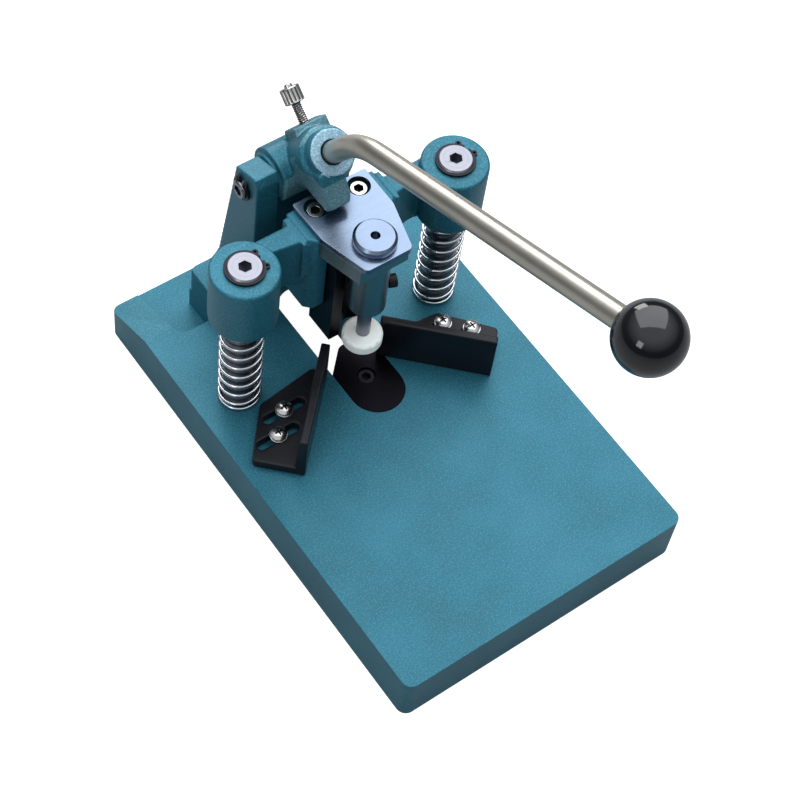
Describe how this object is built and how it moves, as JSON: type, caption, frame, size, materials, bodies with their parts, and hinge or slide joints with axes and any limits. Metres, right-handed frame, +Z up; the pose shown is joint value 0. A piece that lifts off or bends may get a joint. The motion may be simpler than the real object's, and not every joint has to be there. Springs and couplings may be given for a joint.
{
  "type": "corner rounding cutter",
  "caption": "Manual bench corner cutter with a cast base, guided crosshead, spring return, fences, nylon presser foot and a long ball-ended lever.",
  "frame": {"origin": "underside of the base plate, on the left-right middle plane, level with the front end of the die pocket", "axes": "+X to the operator's right, +Y away from the operator to the rear, +Z up, square to the underside of the base"},
  "size_m": [0.2, 0.3395, 0.3337],
  "materials": {
    "hammertone": "teal hammertone enamel over rough casting",
    "black_steel": "black oxide",
    "tool_steel": "ground tool steel, dark oiled",
    "ground_steel": "ground bright",
    "dark_steel": "ground, slightly dark",
    "spring_wire": "bright plated wire",
    "fence_black": "black satin coating",
    "nickel": "bright nickel",
    "satin_chrome": "satin chrome, brushed",
    "nylon": "natural nylon, turned",
    "handle_nickel": "polished nickel",
    "ball_black": "moulded phenolic, glossy"
  },
  "bodies": {
    "base": {"base_plate": "hammertone", "rear_yoke": "hammertone", "yoke_bolts": "black_steel", "pivot_pin": "ground_steel", "pivot_circlip": "black_steel", "guide_post_left": "ground_steel", "guide_post_right": "ground_steel", "post_circlip_left": "black_steel", "post_circlip_right": "black_steel", "return_spring_left": "spring_wire", "return_spring_right": "spring_wire", "die_block": "tool_steel", "die_screw": "black_steel", "fence_screws_left": "nickel", "fence_screws_right": "nickel", "fence_washers_left": "nickel", "fence_washers_right": "nickel"},
    "crosshead": {"crosshead": "hammertone", "pressure_plate": "satin_chrome", "plate_screws": "nickel", "punch_holder": "dark_steel", "punch": "tool_steel", "punch_screw": "black_steel", "presser_housing": "dark_steel", "housing_screw": "black_steel", "spring_cap": "satin_chrome", "presser_spring": "spring_wire"},
    "presser": {"presser_rod": "ground_steel", "presser_foot": "nylon"},
    "lever": {"lever_hub": "hammertone", "handle_rod": "handle_nickel", "ball_knob": "ball_black"},
    "thumb_screw": {"thumb_screw": "nickel"},
    "fence_left": {"fence_left": "fence_black"},
    "fence_right": {"fence_right": "fence_black"}
  },
  "joints": [
    {"name": "handle_swing", "type": "hinge", "parent": "base", "child": "lever", "pos_m": [0, 0.1078, 0.1609], "axis": [1, 0, 0], "range_deg": [0, 53]},
    {"name": "crosshead_slide", "type": "slide", "parent": "base", "child": "crosshead", "axis": [0, 0, -1], "range_m": [0, 0.032], "stiffness_N_per_m": 3000, "springref_m": -0.012, "deforming": ["return_spring_left", "return_spring_right"]},
    {"name": "presser_slide", "type": "slide", "parent": "crosshead", "child": "presser", "axis": [0, 0, 1], "range_m": [0, 0.0043], "stiffness_N_per_m": 400, "springref_m": -0.004, "deforming": ["presser_spring"]},
    {"name": "clamp_screw_turn", "type": "hinge", "parent": "lever", "child": "thumb_screw", "pos_m": [0.002, 0.1127, 0.1858], "axis": [0, 0.7771, 0.6293], "continuous": true},
    {"name": "fence_left_adjust", "type": "slide", "parent": "base", "child": "fence_left", "axis": [-1, 0, 0], "range_m": [-0.006, 0.003]},
    {"name": "fence_right_adjust", "type": "slide", "parent": "base", "child": "fence_right", "axis": [1, 0, 0], "range_m": [0, 0.008]}
  ],
  "couplings": [
    {"joint": "crosshead_slide", "follows": "handle_swing", "m_per_rad": 0.034594},
    {"joint": "presser_slide", "follows": "handle_swing", "m_per_rad": 0.0046484}
  ]
}
